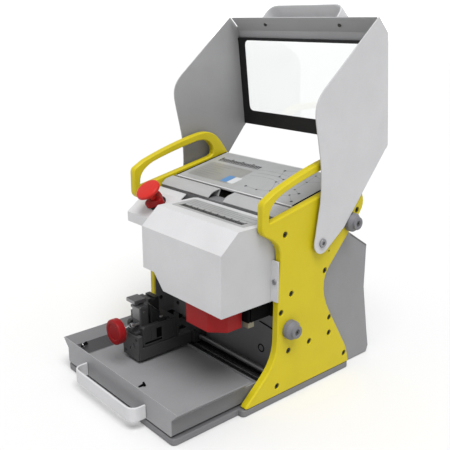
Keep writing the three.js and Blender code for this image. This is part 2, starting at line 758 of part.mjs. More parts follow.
function driveBelt() {
  const a = new THREE.Vector2(...SPINDLE);
  const b = new THREE.Vector2(108, 161);
  const along = b.clone().sub(a);
  const heading = Math.atan2(along.y, along.x);
  const lean = Math.acos((11.9 - 8.9) / along.length());
  const loop = (path, grow) => {
    const ra = 11.9 + grow;
    const rb = 8.9 + grow;
    path.absarc(a.x, a.y, ra, heading + lean, heading + 2 * Math.PI - lean, false);
    path.absarc(b.x, b.y, rb, heading - lean, heading + lean, false);
    path.closePath();
    return path;
  };
  const s = loop(new THREE.Shape(), 1.6);
  s.holes.push(loop(new THREE.Path(), 0));
  return alongZ(s, 218.6, 224.4, 0, 9);
}

// ---- rear panel and electrics -------------------------------------------------------
function powerModule() {
  const y = REAR_WALL_Y;
  const flange = alongY(roundedRect(-117, -49, 137.5, 168.5, 4), y + GAP, y + 3, 0.5, 4);
  const body = box(-112, -53.8, y - 18, y + 1, 141.5, 164.5);
  const inletWell = box(-108, -84, y - 15, y + 5, 145, 161);
  const switchWell = box(-64.9, -55.1, y - 10, y + 5, 144, 162);
  const pins = [-102, -96, -90].map((x) => box(x - 1.5, x + 1.5, y - 16, y - 2, 150, 156));
  return join(cut(join(flange, body), inletWell, switchWell), ...pins);
}

function powerRocker() {
  const y = REAR_WALL_Y - 1;
  const z = 153;
  const s = outline([
    [-6, -4], [-3, -8.2], [1.6, -8.4], [4.6, -7.8], [2.6, 0], [4.6, 7.8], [1.6, 8.4], [-3, 8.2], [-6, 4],
  ]);
  const g = alongX(s, -64.5, -55.5, 0.4);
  return g.rotateX(-0.16).translate(0, y, z);
}

// ---- assembly -----------------------------------------------------------------------
add('base_plate', basePlate(), 'base');
add('side_plate_right', sidePlate(0), 'yellow');
add('side_plate_left', mirrored(sidePlate(LEFT_REACH)), 'yellow');
add('inner_wall', innerWall(), 'dark');
add('rear_housing', rearHousing(), 'grey');

add('console_chassis', consoleChassis(), 'grey');
add('console_panel', consolePanel(), 'white');
add('tablet_rest_left', tabletRest(-135, REST_GAP[0]), 'white');
add('tablet_rest_right', tabletRest(REST_GAP[1], 135), 'white');

add('head_cover', headCover(), 'white');
add('stop_panel', stopPanel(), 'white');
add('stop_collar', stopCollar(), 'dark');
add('stop_grip', stopGrip(), 'button');
add('stop_cap', stopCap(), 'button');

add('cover_cheek_right', cheek(), 'cheek');
add('cover_cheek_left', mirrored(cheek()), 'cheek');
add('cover_top', coverTop(), 'cheek');
add('window_frame', windowFrame(), 'black');
add('window_pane', windowPane(), 'glass', { transparent: true, opacity: 0.3 });
add('cover_handle', coverHandle(), 'white');
add('pivot_pin_right', pivotPin(), 'steel');
add('pivot_pin_left', mirrored(pivotPin()), 'steel');
add('bumper_open_right', stopBumper(UPPER_STOP), 'grey');
add('bumper_open_left', mirrored(stopBumper(UPPER_STOP)), 'grey');
add('bumper_closed_right', stopBumper(LOWER_STOP), 'grey');
add('bumper_closed_left', mirrored(stopBumper(LOWER_STOP)), 'grey');

add('chip_tray', tray(), 'grey');
add('tray_handle', trayHandle(), 'white');
add('tray_runner_right', box(116, 128, 14, 172, BASE_THICK + GAP, TRAY_FLOOR_Z - GAP), 'nylon');
add('tray_runner_left', box(-128, -116, 14, 172, BASE_THICK + GAP, TRAY_FLOOR_Z - GAP), 'nylon');

add('bed_x', bedX(), 'black');
add('rail_x_front', railX(181), 'steel');
add('rail_x_rear', railX(197.5), 'steel');
add('screw_x', screwX(), 'steel');
add('motor_x', motorX(), 'black');
add('carriage_x', carriageX(), 'black');
add('arm_y', armY(), 'dark');
add('screw_y', screwY(), 'steel');
add('saddle_y', saddle(), 'dark');
add('jaw_rear', jawRear(), 'dark');
add('jaw_front', jawFront(), 'grey');
add('clamp_screw', clampScrew(), 'steel');
add('clamp_knob', clampKnob(), 'red');

add('spindle_guard', spindleGuard(), 'red');
add('guard_bracket', guardBracket(), 'black');
add('rail_z', railZ(), 'steel');
add('carriage_z', carriageZ(), 'black');
add('screw_z', screwZ(), 'steel');
add('motor_z', motorZ(), 'black');
add('spindle_plate', spindlePlate(), 'steel');
add('spindle_body', spindleBody(), 'steel');
add('spindle_shaft', spindleShaft(), 'steel');
add('cutter', cutter(), 'steel');
add('tracer_probe', tracerProbe(), 'brass');
add('spindle_motor', spindleMotor(), 'black');
add('motor_pulley', motorPulley(), 'steel');
add('drive_belt', driveBelt(), 'black');

add('power_module', powerModule(), 'black');
add('power_rocker', powerRocker(), 'button');

export default machine;
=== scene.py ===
"""Looks of the key duplicating machine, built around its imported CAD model. Metres, +Z up, operator at -Y."""

import json
import math

import bmesh
import bpy
from mathutils import Matrix, Vector


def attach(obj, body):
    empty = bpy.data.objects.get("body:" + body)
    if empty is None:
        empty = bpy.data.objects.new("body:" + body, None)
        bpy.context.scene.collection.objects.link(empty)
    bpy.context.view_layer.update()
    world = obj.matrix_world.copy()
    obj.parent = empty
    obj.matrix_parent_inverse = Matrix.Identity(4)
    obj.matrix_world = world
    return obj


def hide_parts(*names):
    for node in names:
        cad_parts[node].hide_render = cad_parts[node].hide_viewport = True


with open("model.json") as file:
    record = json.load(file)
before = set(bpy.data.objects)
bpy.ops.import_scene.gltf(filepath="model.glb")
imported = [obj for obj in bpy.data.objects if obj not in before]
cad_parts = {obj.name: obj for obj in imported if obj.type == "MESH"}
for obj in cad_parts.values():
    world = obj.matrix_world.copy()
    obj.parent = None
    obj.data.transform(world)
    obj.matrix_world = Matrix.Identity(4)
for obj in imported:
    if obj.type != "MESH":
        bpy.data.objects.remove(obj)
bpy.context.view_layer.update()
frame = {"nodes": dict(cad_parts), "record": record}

MM = 0.001
BASE_MIDDLE = 170.0          # distance from the base's front edge to the middle of the base
SOCKET_SIDES = 36

# Places shared by several pieces, in millimetres as at() takes them.
PLATE_FACE = 150.0           # x of the side plates' outer faces
PIVOT = (256.9, 229.2)       # (y, z) of the cover's hinge
RUBBER_STOPS = (("open", 325.6, 246.4), ("closed", 201.5, 110.2))     # name, y and z
CLAMP_X = -73
CLAMP_SCREW_Z = 72
LABEL_Z = 269.55             # z of the underside of the label on the head cover
PANEL_FOOT = (217.0, 285.0)  # (y, z) of the console panel's front edge
PANEL_RUN, PANEL_RISE = 113.0, 24.8
PANEL_UP = Vector((0, -PANEL_RISE, PANEL_RUN))


def at(x, y, z):
    """A point given in millimetres, with y counted back from the base's front edge."""
    return Vector((x * MM, (y - BASE_MIDDLE) * MM, z * MM))


# ---- camera, floor and light --------------------------------------------------------
def camera():
    data = bpy.data.cameras.new("camera")
    data.sensor_width = 36.0
    data.lens = 53.97
    data.clip_end = 50.0
    cam = bpy.data.objects.new("camera", data)
    cam.location = (0.7561, -0.6141, 0.5330)
    cam.rotation_euler = (math.radians(90 - 16.90), 0, math.radians(49.14))
    bpy.context.scene.collection.objects.link(cam)
    bpy.context.scene.camera = cam


def studio():
    scene = bpy.context.scene
    scene.view_settings.view_transform = "Standard"
    world = bpy.data.worlds.new("studio")
    world.use_nodes = True
    world.node_tree.nodes["Background"].inputs["Color"].default_value = (1, 1, 1, 1)
    world.node_tree.nodes["Background"].inputs["Strength"].default_value = 0.62
    scene.world = world
    data = bpy.data.lights.new("overhead", "SUN")
    data.energy = 2.9
    data.angle = math.radians(38)
    sun = bpy.data.objects.new("overhead", data)
    sun.rotation_euler = (-Vector((0.36, -0.18, 0.92))).to_track_quat("-Z", "Y").to_euler()
    scene.collection.objects.link(sun)
    floor = plain("floor", (0.69, 0.69, 0.69), 0.0)
    bm = bmesh.new()
    bmesh.ops.create_grid(bm, x_segments=1, y_segments=1, size=24.0)
    bmesh.ops.translate(bm, verts=bm.verts, vec=(0, 0, -0.0002))
    bm.to_mesh(floor.data)
    bm.free()
    wall = plain("backdrop", (0.8, 0.8, 0.8), 1.0)
    bm = bmesh.new()
    bmesh.ops.create_cone(bm, segments=48, radius1=23, radius2=23, depth=2.6)
    bmesh.ops.translate(bm, verts=bm.verts, vec=(0, 0, 1.2))
    bm.to_mesh(wall.data)
    bm.free()


def plain(name, colour, glow):
    """An empty stage object: the floor, or the pale wall far behind."""
    mesh = bpy.data.meshes.new(name)
    obj = bpy.data.objects.new(name, mesh)
    bpy.context.scene.collection.objects.link(obj)
    m = bpy.data.materials.new(name)
    m.use_nodes = True
    surface = m.node_tree.nodes["Principled BSDF"]
    surface.inputs["Base Color"].default_value = (*colour, 1)
    surface.inputs["Roughness"].default_value = 0.9
    surface.inputs["Specular IOR Level"].default_value = 0.1
    surface.inputs["Emission Color"].default_value = (1, 1, 1, 1)
    surface.inputs["Emission Strength"].default_value = glow
    mesh.materials.append(m)
    return obj


# ---- materials ----------------------------------------------------------------------
class Nodes:
    """Short hand for building a node tree around one Principled shader."""

    def __init__(self, name):
        self.material = bpy.data.materials.new(name)
        self.material.use_nodes = True
        self.tree = self.material.node_tree
        self.surface = self.tree.nodes["Principled BSDF"]
        coordinates = self.tree.nodes.new("ShaderNodeTexCoord")
        self.place = coordinates.outputs["Object"]
        self.facing = coordinates.outputs["Normal"]

    def link(self, a, b):
        self.tree.links.new(a, b)

    def constant(self, socket, value):
        self.surface.inputs[socket].default_value = value

    def stretched(self, scale, place=None):
        m = self.tree.nodes.new("ShaderNodeMapping")
        m.inputs["Scale"].default_value = scale
        self.link(place or self.place, m.inputs["Vector"])
        return m.outputs["Vector"]

    def noise(self, scale, detail=2.0, rough=0.5, place=None):
        n = self.tree.nodes.new("ShaderNodeTexNoise")
        n.inputs["Scale"].default_value = scale
        n.inputs["Detail"].default_value = detail
        n.inputs["Roughness"].default_value = rough
        self.link(place or self.place, n.inputs["Vector"])
        return n.outputs["Fac"]

    def spread(self, value, low, high, new_low, new_high):
        n = self.tree.nodes.new("ShaderNodeMapRange")
        for i, v in enumerate((low, high, new_low, new_high)):
            n.inputs[i + 1].default_value = v
        self.link(value, n.inputs[0])
        return n.outputs[0]

    def split(self, vector, axis):
        n = self.tree.nodes.new("ShaderNodeSeparateXYZ")
        self.link(vector, n.inputs[0])
        return n.outputs[axis]

    def times(self, a, b):
        n = self.tree.nodes.new("ShaderNodeMath")
        n.operation = "MULTIPLY"
        for i, v in enumerate((a, b)):
            if isinstance(v, float):
                n.inputs[i].default_value = v
            else:
                self.link(v, n.inputs[i])
        return n.outputs[0]

    def blend(self, factor, a, b, mode="MIX"):
        n = self.tree.nodes.new("ShaderNodeMix")
        n.data_type = "RGBA"
        n.blend_type = mode
        for key, v in (("Factor", factor), ("A", a), ("B", b)):
            socket = [s for s in n.inputs if s.name == key and (s.type == "RGBA") == (key != "Factor")][0]
            if isinstance(v, bpy.types.NodeSocket):
                self.link(v, socket)
            else:
                socket.default_value = v
        return [s for s in n.outputs if s.type == "RGBA"][0]

    def rim(self, radius):
        """0 on flat faces and 1 along edges, with the rounded normal that goes with it."""
        bevel = self.tree.nodes.new("ShaderNodeBevel")
        bevel.samples = 4
        bevel.inputs["Radius"].default_value = radius
        flat = self.tree.nodes.new("ShaderNodeNewGeometry")
        dot = self.tree.nodes.new("ShaderNodeVectorMath")
        dot.operation = "DOT_PRODUCT"
        self.link(bevel.outputs["Normal"], dot.inputs[0])
        self.link(flat.outputs["Normal"], dot.inputs[1])
        return self.spread(dot.outputs["Value"], 0.995, 0.80, 0.0, 1.0), bevel.outputs["Normal"]

    def bump(self, height, depth, normal=None):
        n = self.tree.nodes.new("ShaderNodeBump")
        n.inputs["Strength"].default_value = 1.0
        n.inputs["Distance"].default_value = depth
        self.link(height, n.inputs["Height"])
        if normal is not None:
            self.link(normal, n.inputs["Normal"])
        self.link(n.outputs["Normal"], self.surface.inputs["Normal"])


def rgb(colour, k=1.0):
    return (colour[0] * k, colour[1] * k, colour[2] * k, 1)


def coating(name, colour, rough=0.42, grain=1500.0, depth=0.00002, edge_wear_and_highlight=0.35, edge_wear_and_highlight_colour=None, spec=0.5,
            patches=0.05, speck=0.12, side=1.0, low=None):
    """Powder coat, paint or moulded plastic: mottled colour, fine grain, scuffed roughness, and paler edges
    that are partly rubbed paint and partly a painted edge highlight.
    side darkens the faces turned to +X, a painted shade. low darkens downwards, also a painted shade, and
    gives the z of the darkest point, the z of full colour and the darkest factor."""
    n = Nodes(name)
    mottle = n.spread(n.noise(16.0, 4.0, 0.6), 0.25, 0.75, 0.0, 1.0)
    base = n.blend(mottle, rgb(colour, 1 - patches), rgb(colour, 1 + patches))
    # Painted shade: faces turned to +X are darkened.
    if side != 1.0:
        turn = n.split(n.facing, 0)
        base = n.blend(n.spread(turn, 0.3, 0.9, 0.0, 1.0), base, (side, side, side, 1), "MULTIPLY")
    # Painted shade: darker towards the bottom.
    if low:
        painted_low_shade = n.spread(n.split(n.place, 2), low[0], low[1], low[2], 1.0)
        base = n.blend(1.0, base, painted_low_shade, "MULTIPLY")
    dust = n.spread(n.noise(grain * 0.6, 2.0), 0.35, 0.65, 0.0, 1.0)
    base = n.blend(n.times(dust, speck), base, rgb(colour, 0.72))
    # Paler edges: partly rubbed paint, partly a painted highlight along the edges.
    edge, rounded = n.rim(0.0007)
    broken = n.spread(n.noise(140.0, 5.0, 0.7), 0.40, 0.62, 0.15, 1.0)
    edge_wear_and_highlight_mask = n.times(n.times(edge, broken), edge_wear_and_highlight)
    edge_wear_and_highlight_colour = edge_wear_and_highlight_colour or tuple(min(1.0, c * 1.25 + 0.05) for c in colour)
    base = n.blend(edge_wear_and_highlight_mask, base, rgb(edge_wear_and_highlight_colour))
    n.link(base, n.surface.inputs["Base Color"])
    smear = n.noise(45.0, 5.0, 0.65)
    n.link(n.spread(smear, 0.2, 0.8, rough - 0.08, rough + 0.10), n.surface.inputs["Roughness"])
    n.constant("Specular IOR Level", spec)
    n.constant("Metallic", 0.0)
    n.bump(n.noise(grain, 2.0), depth, rounded)
    return n.material


def machined(name, colour, rough=0.30, along=(1, 1, 1), metal=1.0, depth=0.000006, edge_wear_and_highlight=0.3):
    """Turned, ground or blackened metal with fine tool marks, and brighter edges that are partly rubbed metal
    and partly a painted edge highlight.
    """
    n = Nodes(name)
    marks = n.noise(900.0, 3.0, 0.6, n.stretched(along))
    tone = n.spread(n.noise(30.0, 4.0, 0.6), 0.3, 0.7, 0.0, 1.0)
    base = n.blend(tone, rgb(colour, 0.86), rgb(colour, 1.12))
    base = n.blend(n.times(n.spread(marks, 0.3, 0.7, 0.0, 1.0), 0.25), base, rgb(colour, 0.6))
    # Brighter edges: partly rubbed metal, partly a painted highlight along the edges.
    edge, rounded = n.rim(0.0005)
    broken = n.spread(n.noise(220.0, 4.0, 0.7), 0.35, 0.60, 0.2, 1.0)
    bright = tuple(min(1.0, c * 1.6 + 0.12) for c in colour)
    base = n.blend(n.times(n.times(edge, broken), edge_wear_and_highlight), base, rgb(bright))
    n.link(base, n.surface.inputs["Base Color"])
    n.link(n.spread(marks, 0.2, 0.8, rough - 0.08, rough + 0.12), n.surface.inputs["Roughness"])
    n.constant("Metallic", metal)
    n.bump(marks, depth, rounded)
    return n.material


def clear_sheet(name):
    """Acrylic sheet: clear, with faint smears in the gloss."""
    n = Nodes(name)
    haze = n.noise(12.0, 5.0, 0.6)
    n.link(n.blend(n.spread(haze, 0.3, 0.8, 0.0, 1.0), (0.97, 0.985, 0.98, 1), (0.93, 0.95, 0.95, 1)),
           n.surface.inputs["Base Color"])
    n.link(n.spread(haze, 0.3, 0.8, 0.01, 0.05), n.surface.inputs["Roughness"])
    n.constant("Transmission Weight", 1.0)
    n.constant("IOR", 1.49)
    return n.material


def belt_rubber(name):
    """Toothed drive belt: black rubber with ribs across it."""
    n = Nodes(name)
    wave = n.tree.nodes.new("ShaderNodeTexWave")
    wave.inputs["Scale"].default_value = 160.0
    n.link(n.place, wave.inputs["Vector"])
    n.link(n.blend(wave.outputs["Fac"], (0.010, 0.010, 0.010, 1), (0.035, 0.035, 0.035, 1)),
           n.surface.inputs["Base Color"])
    n.link(n.spread(n.noise(300.0), 0.2, 0.8, 0.55, 0.8), n.surface.inputs["Roughness"])
    n.bump(wave.outputs["Fac"], 0.0003)
    return n.material


# One look for each of the record's material slots.
LOOK = {
    "yellow": coating("yellow_coat", (0.508, 0.415, 0.008), 0.46, edge_wear_and_highlight_colour=(0.80, 0.72, 0.06), edge_wear_and_highlight=0.7,
                      spec=0.22),
    "white": coating("white_coat", (0.54, 0.54, 0.55), 0.46, spec=0.35),
    "cover_white": coating("cover_coat", (0.475, 0.475, 0.485), 0.48, spec=0.3),
    "housing_grey": coating("grey_coat", (0.215, 0.215, 0.222), 0.48, edge_wear_and_highlight_colour=(0.45, 0.45, 0.46), spec=0.35),
    "base_grey": coating("base_coat", (0.15, 0.149, 0.156), 0.48, edge_wear_and_highlight_colour=(0.40, 0.40, 0.41), spec=0.35),
    "dark_grey": coating("dark_coat", (0.125, 0.125, 0.13), 0.50, edge_wear_and_highlight_colour=(0.26, 0.26, 0.26), spec=0.35),
    "black_plastic": coating("black_plastic", (0.009, 0.009, 0.010), 0.50, 900.0, edge_wear_and_highlight_colour=(0.04, 0.04, 0.04),
                             speck=0.05, spec=0.25),
    "stop_red": coating("stop_red", (0.50, 0.022, 0.016), 0.38, 500.0, 0.000006, 0.25, speck=0.03, spec=0.2),
    "guard_red": coating("guard_red", (0.27, 0.009, 0.010), 0.42, 500.0, 0.000006, 0.25, speck=0.03,
                         spec=0.16),
    "rubber": coating("bumper_rubber", (0.155, 0.155, 0.168), 0.55, 1200.0, 0.00003, 0.2, spec=0.3),
    "nylon": coating("nylon", (0.62, 0.62, 0.56), 0.40, speck=0.03),
    "belt": belt_rubber("belt_rubber"),
    "clear": clear_sheet("clear_sheet"),
    "steel": machined("turned_steel", (0.55, 0.55, 0.56), 0.28),
    "jaw_steel": machined("jaw_steel", (0.105, 0.105, 0.11), 0.36, (1, 1, 12), 0.6, edge_wear_and_highlight=0.6),
    "black_steel": machined("black_steel", (0.050, 0.050, 0.052), 0.42, (1, 10, 1), 0.35, 0.00001, 0.5),
    "brass": machined("brass", (0.58, 0.40, 0.14), 0.25),
}
# Looks of single pieces that differ from their slot's.
EXTRA = {
    "screw_black": machined("screw_black", (0.022, 0.022, 0.023), 0.35, (1, 1, 1), 0.6, 0.00001, 0.7),
    "screw_dark": machined("screw_dark", (0.10, 0.10, 0.095), 0.38, (1, 1, 1), 0.8, 0.000008, 0.8),
    "plate_screw": machined("plate_screw", (0.042, 0.040, 0.026), 0.45, (1, 1, 1), 0.7, 0.000008, 0.9),
    "screw_bright": machined("screw_bright", (0.45, 0.45, 0.46), 0.30),
    "pin_grey": machined("pin_grey", (0.26, 0.26, 0.27), 0.42, (1, 1, 1), 0.7),
    "rail_dark": machined("rail_dark", (0.06, 0.06, 0.062), 0.25, (0.05, 1, 1), 0.9, 0.000004, 0.8),
    # arm_grey: lighter than the black steel, a painted light on the arm's front, with its faces turned to +X
    # darkened as painted shade.
    "arm_grey": coating("arm_grey", (0.072, 0.072, 0.074), 0.45, 900.0, edge_wear_and_highlight_colour=(0.14, 0.14, 0.14), side=0.6),
    # A lighter copy of the rail steel for the front rail: a painted highlight.
    "rail_painted_highlight": machined("rail_painted_highlight", (0.20, 0.20, 0.205), 0.25, (0.05, 1, 1), 0.9, 0.000004, 0.8),
    "screw_grey": machined("screw_grey", (0.20, 0.20, 0.205), 0.32, (1, 1, 1), 0.8),
    # A darker copy of the stop red for the grip under the cap: painted shade.
    "stop_red_shaded": coating("stop_red_shaded", (0.24, 0.007, 0.008), 0.38, 500.0, 0.000006, 0.2, speck=0.03,
                             spec=0.15),
    "knob_red": coating("knob_red", (0.225, 0.006, 0.008), 0.38, 500.0, 0.000006, 0.5, (0.45, 0.03, 0.03),
                        speck=0.03, spec=0.16),
    # head_white: the white coat with its faces turned to +X darkened, a painted shade.
    "head_white": coating("head_coat", (0.54, 0.54, 0.55), 0.46, spec=0.35, side=0.78),
    # cheek_shaded: the cover coat with its +X faces darkened and darker towards the bottom, both painted
    # shade.
    "cheek_shaded": coating("cheek_shaded_coat", (0.475, 0.475, 0.485), 0.48, spec=0.25, side=0.72,
                            low=(0.25, 0.47, 0.42)),
    "motor_black": coating("motor_black", (0.0025, 0.0025, 0.003), 0.65, 900.0, edge_wear_and_highlight_colour=(0.02, 0.02, 0.02),
                           speck=0.05, spec=0.04),
    "rest_white": coating("rest_coat", (0.365, 0.365, 0.37), 0.46, spec=0.3),
    "chassis": coating("chassis_coat", (0.18, 0.18, 0.187), 0.50, edge_wear_and_highlight_colour=(0.35, 0.35, 0.36), spec=0.3),
    # A darker copy of the cover coat, used on the cover's top panel: painted shade.
    "cover_shaded": coating("cover_shaded_coat", (0.35, 0.35, 0.36), 0.50, spec=0.25),
    # tray_grey: faces turned to +X darkened, a painted shade.
    "tray_grey": coating("tray_coat", (0.262, 0.262, 0.270), 0.48, edge_wear_and_highlight_colour=(0.50, 0.50, 0.51), spec=0.35,
                         side=0.5),
    "jaw_dark": machined("jaw_dark", (0.030, 0.030, 0.032), 0.36, (1, 1, 12), 0.6, edge_wear_and_highlight=0.7),
    # A lighter copy of the jaw steel for thin sheets on the jaw's front: painted light.
    "jaw_painted_light": machined("jaw_painted_light", (0.25, 0.25, 0.255), 0.34, (1, 1, 12), 0.6, edge_wear_and_highlight=0.5),
    "connector": coating("connector", (0.16, 0.145, 0.10), 0.45, 800.0),
    "ink": coating("ink", (0.020, 0.020, 0.022), 0.50, 400.0, 0.000005, 0.0),
    "soft_ink": coating("soft_ink", (0.20, 0.205, 0.215), 0.50, 400.0, 0.000005, 0.0),
    "pale_ink": coating("pale_ink", (0.56, 0.565, 0.575), 0.50, 400.0, 0.000005, 0.0),
    "film": coating("panel_film", (0.335, 0.34, 0.342), 0.36, 700.0, 0.000006, 0.1, patches=0.09, speck=0.04),
    "film_grey": coating("panel_film_grey", (0.25, 0.25, 0.24), 0.36, 700.0, 0.000006, 0.0, patches=0.15,
                         speck=0.04),
    "film_blue": coating("panel_film_blue", (0.09, 0.22, 0.44), 0.30, 700.0, 0.000006, 0.0, patches=0.15,
                         speck=0.03),
}


# ---- mesh building ------------------------------------------------------------------
def link_mesh(name, bm):
    bmesh.ops.recalc_face_normals(bm, faces=bm.faces)
    mesh = bpy.data.meshes.new(name)
    bm.to_mesh(mesh)
    bm.free()
    obj = bpy.data.objects.new(name, mesh)
    bpy.context.scene.collection.objects.link(obj)
    return obj


def apply_modifiers(obj):
    bpy.context.view_layer.update()
    deps = bpy.context.evaluated_depsgraph_get()
    final = bpy.data.meshes.new_from_object(obj.evaluated_get(deps))
    old = obj.data
    obj.modifiers.clear()
    obj.data = final
    bpy.data.meshes.remove(old)


def soften(obj, width, segments=2, angle=28):
    m = obj.modifiers.new("edges", "BEVEL")
    m.width = width * MM
    m.segments = segments
    m.limit_method = "ANGLE"
    m.angle_limit = math.radians(angle)
    m.use_clamp_overlap = True
    apply_modifiers(obj)


def smooth(obj, angle=32):
    for p in obj.data.polygons:
        p.use_smooth = True
    obj.data.set_sharp_from_angle(angle=math.radians(angle))
    m = obj.modifiers.new("flat faces stay flat", "WEIGHTED_NORMAL")
    m.keep_sharp = True
    apply_modifiers(obj)


def dress(obj, body, slot, look=None, replaced=(), bevel=0.0, segments=2):
    """Edges, shading, material, and the CAD body the piece rides on."""
    if bevel:
        soften(obj, bevel, segments)
    smooth(obj)
    obj.data.materials.clear()
    obj.data.materials.append(look or LOOK[slot])
    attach(obj, body)
    if replaced:
        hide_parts(*replaced)
    return obj


def body_of_node(node):
    for body, members in frame["record"]["behaviour"]["bodies"].items():
        if node in members:
            return body
    raise ValueError(node)


def slot_of_node(node):
    return [s["material_slot"] for s in frame["record"]["subparts"] if s["node"] == node][0]


def prism(bm, points, axis, low, high):
    """Adds a closed prism. points are (y, z) along x, (x, z) along y or (x, y) along z, in millimetres."""
    rings = []
    for end in (low, high):
        ring = []
        for u, v in points:
            p = {"x": (end, u, v), "y": (u, end, v), "z": (u, v, end)}[axis]
            ring.append(bm.verts.new(at(*p)))
        rings.append(ring)
    bm.faces.new(rings[0])
    bm.faces.new(rings[1][::-1])
    count = len(points)
    for i in range(count):
        j = (i + 1) % count
        bm.faces.new((rings[0][i], rings[1][i], rings[1][j], rings[0][j]))


def block(bm, x0, x1, y0, y1, z0, z1):
    prism(bm, [(x0, y0), (x1, y0), (x1, y1), (x0, y1)], "z", z0, z1)


def add_ring(bm, centre, side, other, radii):
    """Adds one ring of points round centre, evenly turned, at radii in millimetres."""
    ring = []
    for i, r in enumerate(radii):
        a = 2 * math.pi * i / len(radii)
        ring.append(bm.verts.new(centre + (side * math.cos(a) + other * math.sin(a)) * (r * MM)))
    return ring


def bridge(bm, a, b):
    """Joins two rings of the same number of points with a band of faces."""
    for i in range(len(a)):
        j = (i + 1) % len(a)
        bm.faces.new((a[i], a[j], b[j], b[i]))


def hexagon(r, sides):
    """Radii of a ring whose points lie on a hexagon with corners at r."""
    sixth = math.pi / 6
    turns = [2 * math.pi * i / sides for i in range(sides)]
    return [r * math.cos(sixth) / math.cos((a + sixth) % (2 * sixth) - sixth) for a in turns]


def turned(bm, profile, foot, axis, sides=32, flats=()):
    """Adds a turned body: (radius, height) pairs in millimetres, measured from the point foot along axis.
    The pairs whose numbers are in flats are hexagonal, as a socket is."""
    axis = Vector(axis).normalized()
    side = axis.orthogonal().normalized()
    other = axis.cross(side)
    rings = []
    for k, (r, h) in enumerate(profile):
        centre = foot + axis * (h * MM)
        if r < 1e-6:
            rings.append([bm.verts.new(centre)])
            continue
        radii = hexagon(r, sides) if k in flats else [r] * sides
        rings.append(add_ring(bm, centre, side, other, radii))
    for a, b in zip(rings, rings[1:]):
        for i in range(sides):
            j = (i + 1) % sides
            corners = [a[i % len(a)], a[j % len(a)], b[j % len(b)], b[i % len(b)]]
            corners = [v for n, v in enumerate(corners) if v not in corners[:n]]
            if len(corners) > 2:
                bm.faces.new(corners)
    for ring in (rings[0], rings[-1]):
        if len(ring) > 1:
            bm.faces.new(ring)


def socket_screw(bm, top, axis, r, head=2.0, sides=SOCKET_SIDES):
    """A cap screw head whose flat top lies at top and faces along axis."""
    foot = top - Vector(axis).normalized() * (head * MM)
    profile = [(0, 0), (r, 0), (r, head - 0.35), (r - 0.35, head), (r * 0.58, head), (r * 0.54, head - 0.25),
               (r * 0.54, head * 0.35), (0, head * 0.25)]
    turned(bm, profile, foot, axis, sides, flats=(4, 5, 6))


def screws(name, body, tops, axis, r, head=2.0, slot="steel", look=None):
    bm = bmesh.new()
    for top in tops:
        socket_screw(bm, top, axis, r, head)
    return dress(link_mesh(name, bm), body, slot, look)


def cad_copy(node, name):
    """A clean copy of a CAD node's mesh, with its flat faces merged, ready for holes and rounded edges."""
    bm = bmesh.new()
    bm.from_mesh(frame["nodes"][node].data)
    bmesh.ops.remove_doubles(bm, verts=bm.verts, dist=2e-6)
    bmesh.ops.dissolve_limit(bm, angle_limit=math.radians(0.8), verts=bm.verts, edges=bm.edges)
    return link_mesh(name, bm)


def carve(obj, bm_tool):
    """Cuts the tool's shape out of obj."""
    tool = link_mesh("tool", bm_tool)
    m = obj.modifiers.new("cut", "BOOLEAN")
    m.operation = "DIFFERENCE"
    m.solver = "EXACT"
    m.object = tool
    apply_modifiers(obj)
    bpy.data.objects.remove(tool)


def refine(node, bevel=0.4, segments=2, tool=None, look=None, suffix="_body"):
    """Replaces a CAD node with the same shape, with holes cut and edges rounded."""
    obj = cad_copy(node, node + suffix)
    if tool is not None:
        carve(obj, tool)
    return dress(obj, body_of_node(node), slot_of_node(node), look, (node,), bevel, segments)


# ---- frame --------------------------------------------------------------------------
# (y, z) of the screws in each side plate
PLATE_SCREWS = [(180, 25.6), (201.9, 75.1), (245.9, 75.8), (184.8, 139.3), (204.6, 163.2), (188.9, 253.8),
                (329.4, 28.3), (290.4, 75.9), (289.7, 101.8), (274.5, 181), (342, 261)]


def side_plates():
    for side, name in ((1, "right"), (-1, "left")):
        tool = bmesh.new()
        for y, z in PLATE_SCREWS:
            top = at(PLATE_FACE * side, y, z)
            turned(tool, [(4.5, -4.5), (4.5, -0.7), (5.3, 0.1), (5.3, 1.0)], top, (side, 0, 0), 28)
        turned(tool, [(1.8, -3.0), (1.8, 1.0)], at(PLATE_FACE * side, 281.4, 210), (side, 0, 0), 16)
        refine("side_plate_" + name, 0.35, 2, tool)
        tops = [at((PLATE_FACE - 1.3) * side, y, z) for y, z in PLATE_SCREWS]
        screws("plate_screws_" + name, "frame", tops, (side, 0, 0), 3.8, 3.0, look=EXTRA["plate_screw"])


